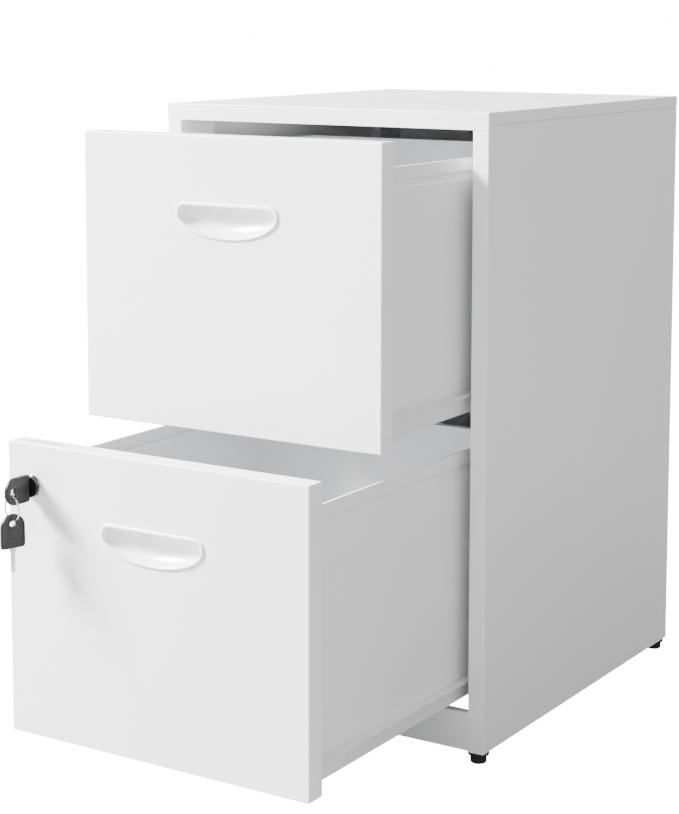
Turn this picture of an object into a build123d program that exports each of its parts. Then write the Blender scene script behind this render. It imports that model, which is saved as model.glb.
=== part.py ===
from build123d import *
import math
import os

# Two-drawer filing cabinet of folded sheet steel. Millimetres, +Z up, front towards -Y.
# The origin is on the floor, under the middle of the whole object as it stands with its
# drawers part open and the key in the lock.

# ---------------------------------------------------------------- driving dimensions
WIDTH = 380.0  # over the side panels
DEPTH = 450.0  # front of the stiles to the back panel's outer face
BODY_HEIGHT = 630.0  # bottom of the body to the top of the lid
FOOT_HEIGHT = 12.0
GAUGE = 0.8  # sheet steel of the case and the drawers
RAIL_GAUGE = 1.0  # steel of the slide rails

STILE = 17.5  # width of the folded front edge of a side panel
RETURN_DEPTH = 15.0  # the stile's inner fold
POST_DEPTH = 60.0
REAR_POST_DEPTH = 45.0
LID_PROUD = 0.5  # lid beyond the side panels, all round
LIP_HEIGHT = 17.0  # lid's front lip
SKIRT_HEIGHT = 12.0  # lid's side and rear skirts
PLINTH_HEIGHT = 39.0  # bottom front rail

PANEL_WIDTH = 339.5
PANEL_HEIGHT = 282.4
PANEL_THICKNESS = 20.4
LOWER_PANEL_LIFT = 41.0  # panel bottom above the body's bottom
PANEL_GAP = 4.0
DRAWER_HALF = 160.0  # outer faces of the drawer's sides
DRAWER_LENGTH = 394.0  # front face to the back's outer face
DRAWER_TOP = 258.0  # top of the drawer's sides above the panel's bottom
DRAWER_FLOOR = 10.5  # underside of the drawer's bottom above the panel's bottom
UPPER_OUT = 162.1  # how far each drawer stands open at rest
LOWER_OUT = 280.5

RUNNER_LOW = 9.4  # all heights of the slide are above the panel's bottom
RUNNER_HIGH = 28.9
RUNNER_FLANGE = 9.5
RUNNER_FOOT = 12.0
CHANNEL_LOW = 9.4
CHANNEL_HIGH = 30.6
CHANNEL_START = 21.5
CHANNEL_END = 440.0
ROLLER_RADIUS = 8.3
ROLLER_WIDTH = 7.5
ROLLER_GAP = 0.3
AXLE_RADIUS = 2.4
AXLE_CLEARANCE = 0.05
FRONT_ROLLER_Y = 30.0
REAR_ROLLER_Y = 384.0

HANDLE_WIDTH = 117.0
HANDLE_TOP = 219.0  # above the panel's bottom
HANDLE_WAIST = 208.0  # height of the two side tips
HANDLE_BOTTOM = 184.3
HANDLE_PROUD = 1.8
HANDLE_DEPTH = 16.0

LOCK_X = -139.9
LOCK_LIFT = 242.0  # lock's axis above the lower panel's bottom
LOCK_BEZEL_RADIUS = 11.8
LOCK_BARREL_RADIUS = 9.2
PLUG_RADIUS = 6.5
PLUG_CAP_RADIUS = 9.8
KEY_REACH = 38.2  # panel's face to the key's front end
BOW_LENGTH = 32.5
BOW_WIDTH = 26.0
BOW_THICKNESS = 4.2
BOW_EDGE = 1.0  # radius of the bow's rounded edges
BOW_HOLE_BACK = 9.0  # hole's centre behind the bow's round end
BLADE_LENGTH = 23.5
BLADE_WIDTH = 7.0
BLADE_THICKNESS = 2.0
RING_OUTER = 12.2
RING_WIRE = 0.9
RING_PLAY = 0.35  # between the ring and the edge of a key's hole
RING_YAW = -15.0  # the ring hangs a little turned

SCREW_HEAD = 1.2  # how far a back screw's head stands proud

# ---------------------------------------------------------------- places worked out
half = WIDTH / 2
rear_reach = DEPTH + SCREW_HEAD
ring_turn = math.radians(RING_YAW)
edge_on = (BOW_WIDTH / 2 - BOW_EDGE) * math.cos(ring_turn)
edge_off = (BOW_THICKNESS / 2 - BOW_EDGE) * abs(math.sin(ring_turn))
keys_reach = KEY_REACH - BOW_HOLE_BACK + edge_on + edge_off + BOW_EDGE  # foremost edge of the spare key
front = -(rear_reach - LOWER_OUT - keys_reach) / 2  # y of the stiles' front
rear = front + DEPTH
base = FOOT_HEIGHT  # z of the body's bottom
top = base + BODY_HEIGHT
inner_wall = half - GAUGE
opening_half = half - STILE
post_x = opening_half + GAUGE  # inner face of the posts, behind the stile's return
lower_z = base + LOWER_PANEL_LIFT
upper_z = lower_z + PANEL_HEIGHT + PANEL_GAP
stile_top = top - LIP_HEIGHT - 0.1
wall_top = top - SKIRT_HEIGHT - 0.4
foot_inset = 10.5
foot_spots = [
    (side * (half - foot_inset), y) for y in (front + foot_inset, rear - foot_inset) for side in (-1, 1)
]
sides = {"left": -1, "right": 1}
drawers = {"upper": (upper_z, front - UPPER_OUT), "lower": (lower_z, front - LOWER_OUT)}

os.makedirs("parts", exist_ok=True)


def save(builder, name):
    """Label a finished piece and write its STEP file."""
    builder.part.label = name
    export_step(builder.part, f"parts/{name}.step")


def across(y):
    """Plane facing the front at depth y: x to the right, z up. A negative extrude runs to the rear."""
    return Plane.XZ.offset(-y)


def folded(plane, points, radius, gauge, length, side=Side.LEFT):
    """Sheet bent along a path of points in the plane, and `length` long along the plane's normal."""
    with BuildPart() as sheet:
        with BuildSketch(plane):
            with BuildLine():
                FilletPolyline(*points, radius=radius)
                offset(amount=gauge, side=side)
            make_face()
        extrude(amount=length)
    return sheet


def block(x, y, z, mode=Mode.ADD):
    """Box between two limits on each axis, added to or cut from the part in hand."""
    with Locations(((x[0] + x[1]) / 2, (y[0] + y[1]) / 2, (z[0] + z[1]) / 2)):
        Box(abs(x[1] - x[0]), abs(y[1] - y[0]), abs(z[1] - z[0]), mode=mode)


# ---------------------------------------------------------------- lid
# One pressed pan, open below, with a deep front lip that is folded back at its bottom.
lid_half = half + LID_PROUD
with BuildPart() as lid:
    with BuildSketch(Plane.XY.offset(top - LIP_HEIGHT)):
        with Locations((0, (front + rear) / 2)):
            RectangleRounded(2 * lid_half, DEPTH + 2 * LID_PROUD, 1.6)
    extrude(amount=LIP_HEIGHT)
    fillet(lid.faces().sort_by(Axis.Z)[-1].edges(), 1.3)
    offset(amount=-GAUGE, openings=lid.faces().sort_by(Axis.Z)[0])
    lip_low = top - LIP_HEIGHT
    block((-half - 5, half + 5), (front + 0.5, rear + 5), (lip_low - 1, top - SKIRT_HEIGHT), Mode.SUBTRACT)
    lip_inside = front + GAUGE - LID_PROUD - 0.1
    block((-half + 3, half - 3), (lip_inside, front + 14), (lip_low, lip_low + GAUGE))
save(lid, "top_panel")

# ---------------------------------------------------------------- side panels
# Wall with a set-in top strip under the lid's skirt, a foot flange, a rear flange and a
# front stile that is folded inwards again.
strip_in = 1.0
rear_flange = 14.0
screw_heights = [base + 60, base + 315, base + 570]
for name, s in sides.items():
    with BuildPart() as side_panel:
        with BuildSketch(across(front)):
            with BuildLine():
                Polyline(
                    (s * half, base),
                    (s * half, wall_top),
                    (s * (half - strip_in), wall_top),
                    (s * (half - strip_in), top - GAUGE),
                    (s * (half - strip_in - GAUGE), top - GAUGE),
                    (s * (half - strip_in - GAUGE), wall_top - GAUGE),
                    (s * inner_wall, wall_top - GAUGE),
                    (s * inner_wall, base),
                    close=True,
                )
            make_face()
        extrude(amount=-(DEPTH - GAUGE))
        block((s * inner_wall, s * opening_half), (front, rear - GAUGE), (base, base + GAUGE))
        flange_y = (rear - 2 * GAUGE, rear - GAUGE)
        block((s * inner_wall, s * (inner_wall - rear_flange)), flange_y, (base, wall_top - 1))
        with BuildSketch(Plane.XY.offset(base)):
            with BuildLine():
                FilletPolyline(
                    (s * half, front + 8),
                    (s * half, front),
                    (s * opening_half, front),
                    (s * opening_half, front + RETURN_DEPTH),
                    radius=1.3,
                )
                offset(amount=GAUGE, side=Side.LEFT if s < 0 else Side.RIGHT)
            make_face()
        extrude(amount=stile_top - base)
        block((s * (half - 4), s * (half + 1)), (front - 1, front + 0.5), (stile_top, top), Mode.SUBTRACT)
        outer_corner = (
            side_panel.edges().filter_by(Axis.Z).filter_by_position(Axis.Y, front - 0.01, front + 0.01)
        )
        corner_x = (s * half - 0.01, s * half + 0.01)
        fillet(outer_corner.filter_by_position(Axis.X, *corner_x), 1.2)
        with BuildSketch(Plane.YZ.offset(s * opening_half)):
            with Locations((front + 8.4, base + 605.7)):
                Circle(2.2)
        extrude(amount=2, both=True, mode=Mode.SUBTRACT)
        with Locations(*[(x, y, base) for x, y in foot_spots if x * s > 0]):
            Cylinder(3.08, 4, mode=Mode.SUBTRACT)
        with BuildSketch(across(rear)):
            with Locations(*[(s * (half - 8), z) for z in screw_heights]):
                Circle(1.85)
        extrude(amount=3, both=True, mode=Mode.SUBTRACT)
    save(side_panel, f"{name}_side_panel")

# ---------------------------------------------------------------- back panel
rail_screw_x = [-90.0, 90.0]
rail_screw_z = base + 18
screw_spots = [(s * (half - 8), z) for s in (-1, 1) for z in screw_heights]
screw_spots += [(x, rail_screw_z) for x in rail_screw_x]
with BuildPart() as back_panel:
    block((-half + 0.1, half - 0.1), (rear - GAUGE, rear), (base, wall_top))
    strip_x = (-half + 3, half - 3)
    strip_rear = rear - GAUGE
    block(strip_x, (strip_rear - GAUGE, strip_rear), (wall_top - GAUGE, wall_top))
    block(strip_x, (strip_rear - GAUGE - 0.2, strip_rear - 0.2), (wall_top - GAUGE, top - GAUGE))
    with BuildSketch(across(rear)):
        with Locations(*screw_spots):
            Circle(1.85)
    extrude(amount=2, both=True, mode=Mode.SUBTRACT)
save(back_panel, "back_panel")

with BuildPart() as back_screws:
    with BuildSketch(across(rear)):
        with Locations(*screw_spots):
            Circle(4.0)
    extrude(amount=-SCREW_HEAD)
    head_end = rear + SCREW_HEAD
    heads = back_screws.faces().filter_by_position(Axis.Y, head_end - 0.01, head_end + 0.01)
    fillet(heads.edges(), 0.7)
    with BuildSketch(across(rear)):
        with Locations(*screw_spots):
            Circle(1.75)
    extrude(amount=8)
    for x, z in screw_spots:
        block((x - 2.2, x + 2.2), (rear + 0.6, rear + 2), (z - 0.4, z + 0.4), Mode.SUBTRACT)
        block((x - 0.4, x + 0.4), (rear + 0.6, rear + 2), (z - 2.2, z + 2.2), Mode.SUBTRACT)
save(back_screws, "back_screws")

# ---------------------------------------------------------------- posts and bottom rails
post_bottom = base + GAUGE + 8
for name, s in sides.items():
    face = s * post_x
    wall = s * (inner_wall - 0.05)
    outward = Side.RIGHT if s > 0 else Side.LEFT
    front_post = folded(
        Plane.XY.offset(post_bottom),
        [(face, front + 2.5), (face, front + POST_DEPTH), (wall, front + POST_DEPTH)],
        1.2,
        GAUGE,
        stile_top - 0.5 - post_bottom,
        outward,
    )
    save(front_post, f"{name}_front_post")
    rear_post = folded(
        Plane.XY.offset(post_bottom),
        [(wall, rear - REAR_POST_DEPTH), (face, rear - REAR_POST_DEPTH), (face, rear - 2 * GAUGE)],
        1.2,
        GAUGE,
        wall_top - 2 - post_bottom,
        outward,
    )
    save(rear_post, f"{name}_rear_post")

rail_half = opening_half - 0.1
plinth_face = front + 1.4  # behind the round of the stiles' inner edges
plinth = folded(
    Plane.YZ.offset(-rail_half),
    [
        (plinth_face + 18, base),
        (plinth_face, base),
        (plinth_face, base + PLINTH_HEIGHT),
        (plinth_face + 11, base + PLINTH_HEIGHT),
        (plinth_face + 11, base + PLINTH_HEIGHT - 7),
    ],
    1.3,
    GAUGE,
    2 * rail_half,
    Side.RIGHT,
)
save(plinth, "bottom_front_rail")

with BuildPart() as rear_rail:
    with BuildSketch(Plane.YZ.offset(-rail_half)):
        with BuildLine():
            FilletPolyline(
                (rear - GAUGE - 18, base),
                (rear - GAUGE, base),
                (rear - GAUGE, base + PLINTH_HEIGHT),
                (rear - GAUGE - 11, base + PLINTH_HEIGHT),
                radius=1.3,
            )
            offset(amount=GAUGE, side=Side.LEFT)
        make_face()
    extrude(amount=2 * rail_half)
    with BuildSketch(across(rear)):
        with Locations(*[(x, rail_screw_z) for x in rail_screw_x]):
            Circle(1.85)
    extrude(amount=5, mode=Mode.SUBTRACT)
save(rear_rail, "bottom_rear_rail")

# ---------------------------------------------------------------- levelling feet
stud_radius = 3.0
with BuildPart() as foot_nuts:
    with BuildSketch(Plane.XY.offset(base + GAUGE)):
        with Locations(*foot_spots):
            RegularPolygon(5.0, 6, major_radius=False)
            Circle(stud_radius + 0.08, mode=Mode.SUBTRACT)
    extrude(amount=5)
save(foot_nuts, "foot_nuts")

foot_names = ["foot_front_left", "foot_front_right", "foot_rear_left", "foot_rear_right"]
for name, (x, y) in zip(foot_names, foot_spots):
    with BuildPart() as foot:
        with BuildSketch(Plane.XZ.offset(-y)):
            with BuildLine():
                Polyline(
                    (x, 0),
                    (x + 7.3, 0),
                    (x + 8.3, 1.2),
                    (x + 8.3, 7.4),
                    (x + 10.5, 8.2),
                    (x + 10.9, 8.8),
                    (x + 10.9, 11.6),
                    (x + stud_radius, 11.6),
                    (x + stud_radius, 25.2),
                    (x + stud_radius - 0.8, 26),
                    (x, 26),
                    close=True,
                )
            make_face()
        revolve(axis=Axis((x, y, 0), (0, 0, 1)))
    save(foot, name)

# ---------------------------------------------------------------- slides
# Each slide is an open channel on the posts with a nylon roller in its mouth, and a runner
# under the drawer's edge that rides on that roller and carries a second one at its rear.
front_roller_z = RUNNER_HIGH - RAIL_GAUGE - ROLLER_GAP - ROLLER_RADIUS
rear_roller_z = CHANNEL_LOW + RAIL_GAUGE + ROLLER_GAP + ROLLER_RADIUS
rivet_ys = [front + 46, front + 60, rear - 36, rear - 20]
web_in = post_x - RAIL_GAUGE
rear_hub_in = DRAWER_HALF + 2.3
front_hub_in = web_in - 1.5 - ROLLER_WIDTH


def roller(x_in, s, y, z):
    """Nylon roller with a bore, its width running outwards from x_in on side s."""
    with BuildPart() as wheel:
        with BuildSketch(Plane.YZ.offset(s * x_in)):
            with Locations((y, z)):
                Circle(ROLLER_RADIUS)
                Circle(AXLE_RADIUS + AXLE_CLEARANCE, mode=Mode.SUBTRACT)
        extrude(amount=s * ROLLER_WIDTH)
        rims = wheel.edges().filter_by(GeomType.CIRCLE)
        fillet([edge for edge in rims if edge.radius > AXLE_RADIUS + 1], 0.9)
    return wheel


for level, (z0, y0) in drawers.items():
    for name, s in sides.items():
        with BuildPart() as channel:
            with BuildSketch(across(front + CHANNEL_START)):
                with BuildLine():
                    FilletPolyline(
                        (s * (DRAWER_HALF + 3.5), z0 + CHANNEL_LOW),
                        (s * post_x, z0 + CHANNEL_LOW),
                        (s * post_x, z0 + CHANNEL_HIGH),
                        (s * (DRAWER_HALF + 3.5), z0 + CHANNEL_HIGH),
                        radius=1.4,
                    )
                    offset(amount=RAIL_GAUGE, side=Side.LEFT if s > 0 else Side.RIGHT)
                make_face()
            extrude(amount=-(CHANNEL_END - CHANNEL_START))
            stop_y = front + REAR_ROLLER_Y + ROLLER_RADIUS + 0.6
            stop_z = (z0 + CHANNEL_LOW + RAIL_GAUGE - 0.1, z0 + CHANNEL_LOW + RAIL_GAUGE + 9)
            block((s * (web_in + 0.1), s * (web_in - 6)), (stop_y, stop_y + 1.5), stop_z)
            with BuildSketch(Plane.YZ.offset(s * (web_in + 0.1))):
                with Locations((front + FRONT_ROLLER_Y, z0 + front_roller_z)):
                    Circle(AXLE_RADIUS)
            extrude(amount=-s * (web_in + 0.1 - front_hub_in + 0.1))
            with BuildSketch(Plane.YZ.offset(s * (front_hub_in - 0.1))):
                with Locations((front + FRONT_ROLLER_Y, z0 + front_roller_z)):
                    Circle(3.6)
            extrude(amount=-s * 0.7)
        save(channel, f"{level}_{name}_channel")

        front_wheel = roller(front_hub_in, s, front + FRONT_ROLLER_Y, z0 + front_roller_z)
        save(front_wheel, f"{level}_{name}_channel_roller")

        with BuildPart() as runner:
            with BuildSketch(across(y0 + PANEL_THICKNESS + 0.1)):
                with BuildLine():
                    FilletPolyline(
                        (s * (DRAWER_HALF + RUNNER_FLANGE), z0 + RUNNER_HIGH),
                        (s * DRAWER_HALF, z0 + RUNNER_HIGH),
                        (s * DRAWER_HALF, z0 + RUNNER_LOW),
                        (s * (DRAWER_HALF - RUNNER_FOOT), z0 + RUNNER_LOW),
                        radius=0.5,
                    )
                    offset(amount=RAIL_GAUGE, side=Side.LEFT if s > 0 else Side.RIGHT)
                make_face()
            extrude(amount=-(DRAWER_LENGTH - PANEL_THICKNESS - 0.1))
            clear_from = y0 + REAR_ROLLER_Y - ROLLER_RADIUS - 1.5
            flange_zone = (z0 + RUNNER_HIGH - RAIL_GAUGE - 0.5, z0 + RUNNER_HIGH + 1)
            flange_x = (s * (DRAWER_HALF + RAIL_GAUGE), s * (DRAWER_HALF + RUNNER_FLANGE + 1))
            block(flange_x, (clear_from, y0 + DRAWER_LENGTH + 1), flange_zone, Mode.SUBTRACT)
            axle_at = (y0 + REAR_ROLLER_Y, z0 + rear_roller_z)
            with BuildSketch(Plane.YZ.offset(s * (DRAWER_HALF + 0.9))):
                with Locations(axle_at):
                    Circle(AXLE_RADIUS)
            extrude(amount=s * (rear_hub_in - DRAWER_HALF - 0.9 + ROLLER_WIDTH + 0.1))
            with BuildSketch(Plane.YZ.offset(s * (DRAWER_HALF + 0.9))):
                with Locations(axle_at):
                    Circle(3.6)
            extrude(amount=s * (rear_hub_in - DRAWER_HALF - 1.0))
            with BuildSketch(Plane.YZ.offset(s * (rear_hub_in + ROLLER_WIDTH + 0.1))):
                with Locations(axle_at):
                    Circle(3.4)
            extrude(amount=s * 0.7)
            with BuildSketch(Plane.YZ.offset(s * (DRAWER_HALF + 0.9))):
                with Locations((y0 + 72.5, z0 + 18.5), (y0 + 105, z0 + 18.5)):
                    SlotCenterToCenter(4.5, 1.6, rotation=90)
            extrude(amount=s * 0.7)
        save(runner, f"{level}_{name}_runner")

        rear_wheel = roller(rear_hub_in, s, y0 + REAR_ROLLER_Y, z0 + rear_roller_z)
        save(rear_wheel, f"{level}_{name}_runner_roller")

with BuildPart() as slide_rivets:
    for s in sides.values():
        with BuildSketch(Plane.YZ.offset(s * web_in)):
            with Locations(*[(y, z0 + 20.0) for z0, y0 in drawers.values() for y in rivet_ys]):
                Circle(2.8)
        extrude(amount=-s * 0.8)
save(slide_rivets, "slide_rivets")

# ---------------------------------------------------------------- drawers
side_bead = DRAWER_TOP - 16.5  # middle of the groove pressed inwards along each side
bead_depth = 1.8
hem_width = 3.2
tongue_x = (-154.9, -110.6)
tongue_y = 12.3
tongue_room = 1.6  # half the width of the slots that the tongue passes
edge_screw_radius = 2.9
lug_x = (-168.4, -163.4)
lug_z = 188.0
lift = 2 * 10.0 * math.sin(math.radians(45))
edge_screws = {"upper": (20.5, 262.4), "lower": (20.5, 223.7)}
edge_screw_y = 9.0


def scoop_blank(inset, depth, z0, y0):
    """Solid of the handle's hollow: half an ellipsoid below the waist, an elliptic prism above."""
    a = HANDLE_WIDTH / 2 - inset
    c = HANDLE_WAIST - HANDLE_BOTTOM - inset
    reach = depth + HANDLE_PROUD
    centre = (0, y0 - HANDLE_PROUD, z0 + HANDLE_WAIST)
    ball = scale(Sphere(1, mode=Mode.PRIVATE), by=(a, reach, c), mode=Mode.PRIVATE)
    with BuildPart() as blank:
        with Locations(centre):
            add(ball)
        with Locations(Vector(centre) + Vector(0, 0, 50)):
            Box(200, 200, 100, mode=Mode.SUBTRACT)
        with BuildSketch(Plane.XY.offset(centre[2])):
            with Locations(centre[:2]):
                Ellipse(a, reach)
        extrude(amount=HANDLE_TOP - HANDLE_WAIST)
    return blank.part


def moon_face(plane, inset, z0):
    """Half-moon face of the handle, its outline drawn in by `inset`."""
    a = HANDLE_WIDTH / 2 - inset
    b = HANDLE_WAIST - HANDLE_BOTTOM - inset
    rise = HANDLE_TOP - HANDLE_WAIST - inset
    with BuildSketch(plane) as face:
        with Locations((0, z0 + HANDLE_WAIST)):
            Ellipse(a, b)
        with Locations((0, z0 + HANDLE_WAIST + b)):
            Rectangle(3 * a, 2 * b, mode=Mode.SUBTRACT)
        with Locations((0, z0 + HANDLE_WAIST + rise / 2 - 1)):
            Rectangle(2 * a - 0.8, rise + 2)
        high = face.vertices().group_by(Axis.Y)[-1]
        fillet(high, rise * 0.8)
    return face


for level, (z0, y0) in drawers.items():
    with BuildPart() as shell:
        with BuildSketch(across(y0)):
            with Locations((0, z0 + PANEL_HEIGHT / 2)):
                RectangleRounded(PANEL_WIDTH, PANEL_HEIGHT, 1.8)
        extrude(amount=-PANEL_THICKNESS)
        fillet(shell.faces().sort_by(Axis.Y)[0].edges(), 1.5)
        offset(amount=-GAUGE, openings=shell.faces().sort_by(Axis.Y)[-1])
        extrude(moon_face(across(y0), 2.0, z0).sketch, amount=-3, mode=Mode.SUBTRACT)
        with BuildSketch(Plane.YZ):
            with Locations(*[(y0 + edge_screw_y, z0 + z) for z in edge_screws[level]]):
                Circle(1.3)
        extrude(amount=half, both=True, mode=Mode.SUBTRACT)
        slot_y = (y0 + tongue_y - tongue_room, y0 + tongue_y + tongue_room)
        if level == "lower":
            block(tongue_x, slot_y, (z0 + PANEL_HEIGHT - 2, z0 + PANEL_HEIGHT + 1), Mode.SUBTRACT)
            with BuildSketch(across(y0)):
                with Locations((LOCK_X, z0 + LOCK_LIFT)):
                    Circle(LOCK_BARREL_RADIUS + 0.1)
            extrude(amount=-3, mode=Mode.SUBTRACT)
        else:
            block(tongue_x, slot_y, (z0 - 1, z0 + 2), Mode.SUBTRACT)
    save(shell, f"{level}_front_shell")

    liner_in = GAUGE + 0.05
    with BuildPart() as liner:
        with BuildSketch(across(y0 + PANEL_THICKNESS - GAUGE)):
            with Locations((0, z0 + PANEL_HEIGHT / 2)):
                RectangleRounded(PANEL_WIDTH - 2 * liner_in, PANEL_HEIGHT - 2 * liner_in, 1.6)
        extrude(amount=-GAUGE)
        if level == "lower":
            slot_z = (z0 + lug_z - 1, z0 + lug_z + 3.5 + lift + 1)
            slot_x = (lug_x[0] - 0.4, lug_x[1] + 0.6)
            block(slot_x, (y0 + PANEL_THICKNESS - 2, y0 + PANEL_THICKNESS + 1), slot_z, Mode.SUBTRACT)
    save(liner, f"{level}_front_liner")

    # Cup handle: a rim that stands proud of the front, round a scoop that is deepest
    # under its straight top edge, where the fingers hook.
    scoop_inset = 3.5
    cup_inset = scoop_inset - 1.3
    with BuildPart() as scoop:
        add(scoop_blank(scoop_inset, HANDLE_DEPTH, z0, y0))
        extrude(moon_face(across(y0 - 6), scoop_inset, z0).sketch, amount=-40, mode=Mode.INTERSECT)
    with BuildPart() as rim:
        extrude(moon_face(across(y0), 0, z0).sketch, amount=HANDLE_PROUD)
        fillet(rim.faces().sort_by(Axis.Y)[0].edges(), 0.8)
    with BuildPart() as handle:
        add(scoop_blank(cup_inset, HANDLE_DEPTH + 1.3, z0, y0))
        extrude(moon_face(across(y0), cup_inset, z0).sketch, amount=-40, mode=Mode.INTERSECT)
        add(rim.part)
        add(scoop.part, mode=Mode.SUBTRACT)
    save(handle, f"{level}_handle")

    with BuildPart() as edge_screw_group:
        for s in sides.values():
            with BuildSketch(Plane.YZ.offset(s * PANEL_WIDTH / 2)):
                with Locations(*[(y0 + edge_screw_y, z0 + z) for z in edge_screws[level]]):
                    Circle(edge_screw_radius)
            extrude(amount=s * 1.1)
            with BuildSketch(Plane.YZ.offset(s * PANEL_WIDTH / 2)):
                with Locations(*[(y0 + edge_screw_y, z0 + z) for z in edge_screws[level]]):
                    Circle(1.25)
            extrude(amount=-s * 6)
        heads = edge_screw_group.edges().filter_by(GeomType.CIRCLE)
        outer = PANEL_WIDTH / 2 + 1.1
        fillet([e for e in heads if e.radius > 2 and abs(abs(e.center().X) - outer) < 0.01], 0.6)
    save(edge_screw_group, f"{level}_front_screws")

    side_start = y0 + PANEL_THICKNESS
    side_length = DRAWER_LENGTH - PANEL_THICKNESS - GAUGE
    for name, s in sides.items():
        drawer_side = folded(
            across(side_start),
            [
                (s * DRAWER_HALF, z0 + DRAWER_FLOOR),
                (s * DRAWER_HALF, z0 + side_bead - 4),
                (s * (DRAWER_HALF - bead_depth), z0 + side_bead - 1.8),
                (s * (DRAWER_HALF - bead_depth), z0 + side_bead + 1.8),
                (s * DRAWER_HALF, z0 + side_bead + 4),
                (s * DRAWER_HALF, z0 + DRAWER_TOP),
                (s * (DRAWER_HALF - hem_width), z0 + DRAWER_TOP),
                (s * (DRAWER_HALF - hem_width), z0 + DRAWER_TOP - 6),
            ],
            1.0,
            GAUGE,
            -side_length,
            Side.LEFT if s > 0 else Side.RIGHT,
        )
        save(drawer_side, f"{level}_drawer_{name}_side")

    inner_half = DRAWER_HALF - GAUGE - 0.05
    drawer_bottom = folded(
        across(side_start),
        [
            (-inner_half, z0 + DRAWER_FLOOR + 12),
            (-inner_half, z0 + DRAWER_FLOOR),
            (inner_half, z0 + DRAWER_FLOOR),
            (inner_half, z0 + DRAWER_FLOOR + 12),
        ],
        1.3,
        GAUGE,
        -side_length,
        Side.LEFT,
    )
    save(drawer_bottom, f"{level}_drawer_bottom")

    back_y = y0 + DRAWER_LENGTH
    drawer_back = folded(
        Plane.YZ.offset(-inner_half + hem_width + 1),
        [(back_y, z0 + DRAWER_FLOOR), (back_y, z0 + DRAWER_TOP), (back_y - 10, z0 + DRAWER_TOP)],
        1.3,
        GAUGE,
        2 * (inner_half - hem_width - 1),
        Side.LEFT,
    )
    with BuildPart() as drawer_back_full:
        add(drawer_back.part)
        back_z = (z0 + DRAWER_FLOOR, z0 + DRAWER_TOP - 2)
        block((-DRAWER_HALF, DRAWER_HALF), (back_y - GAUGE, back_y), back_z)
    save(drawer_back_full, f"{level}_drawer_back")

# ---------------------------------------------------------------- lock
# A cam lock in the lower front: turning the key lifts a flat bar whose tongue enters the
# upper drawer's front, and whose side hook rises behind a keeper on the left post.
lock_z0, lock_y0 = drawers["lower"]
lock_z = lock_z0 + LOCK_LIFT
bezel_proud = 2.1
barrel_end = 8.4
plug_end = 9.0
cam_front = 9.2
cam_rear = 10.5
bar_front = 11.3
bar_rear = 13.3
pin_radius = 1.5
pin_throw = 10.0
pin_x = pin_throw * math.cos(math.radians(45))
pin_drop = pin_throw * math.sin(math.radians(45))


def disc(radius, y_from, y_to, mode=Mode.ADD, dx=0.0, dz=0.0):
    """Round slug along the lock's axis between two depths behind the front's face."""
    with BuildSketch(across(lock_y0 + y_from)) as profile:
        with Locations((LOCK_X + dx, lock_z + dz)):
            Circle(radius)
    extrude(profile.sketch, amount=-(y_to - y_from), mode=mode)


with BuildPart() as lock_housing:
    disc(LOCK_BEZEL_RADIUS, -bezel_proud, 0)
    fillet(lock_housing.faces().sort_by(Axis.Y)[0].edges(), 1.2)
    disc(LOCK_BARREL_RADIUS, 0, barrel_end)
    disc(PLUG_RADIUS + 0.05, -bezel_proud - 1, barrel_end + 1, Mode.SUBTRACT)
save(lock_housing, "lock_housing")

with BuildPart() as lock_nut:
    with BuildSketch(across(lock_y0 + GAUGE)):
        with Locations((LOCK_X, lock_z)):
            RegularPolygon(12.0, 6, major_radius=False)
            Circle(LOCK_BARREL_RADIUS, mode=Mode.SUBTRACT)
    extrude(amount=-3.2)
save(lock_nut, "lock_nut")

keyway_half = BLADE_THICKNESS / 2 + 0.1
keyway_rise = BLADE_WIDTH / 2 + 0.1
with BuildPart() as plug:
    disc(PLUG_CAP_RADIUS, -5.6, -bezel_proud - 0.3)
    fillet(plug.faces().sort_by(Axis.Y)[0].edges(), 0.7)
    disc(PLUG_RADIUS, -bezel_proud - 0.3, plug_end)
    disc(5.6, plug_end, cam_rear)
    with BuildSketch(across(lock_y0 + cam_front)):
        with Locations((LOCK_X + pin_x / 2, lock_z - pin_drop / 2)):
            SlotCenterToCenter(pin_throw, 7.0, rotation=-45)
    extrude(amount=-(cam_rear - cam_front))
    disc(pin_radius, cam_rear, bar_rear + 0.8, dx=pin_x, dz=-pin_drop)
    block(
        (LOCK_X - keyway_half, LOCK_X + keyway_half),
        (lock_y0 - 7, lock_y0 + cam_rear + 1),
        (lock_z - keyway_rise, lock_z + keyway_rise),
        Mode.SUBTRACT,
    )
save(plug, "lock_plug")

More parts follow.
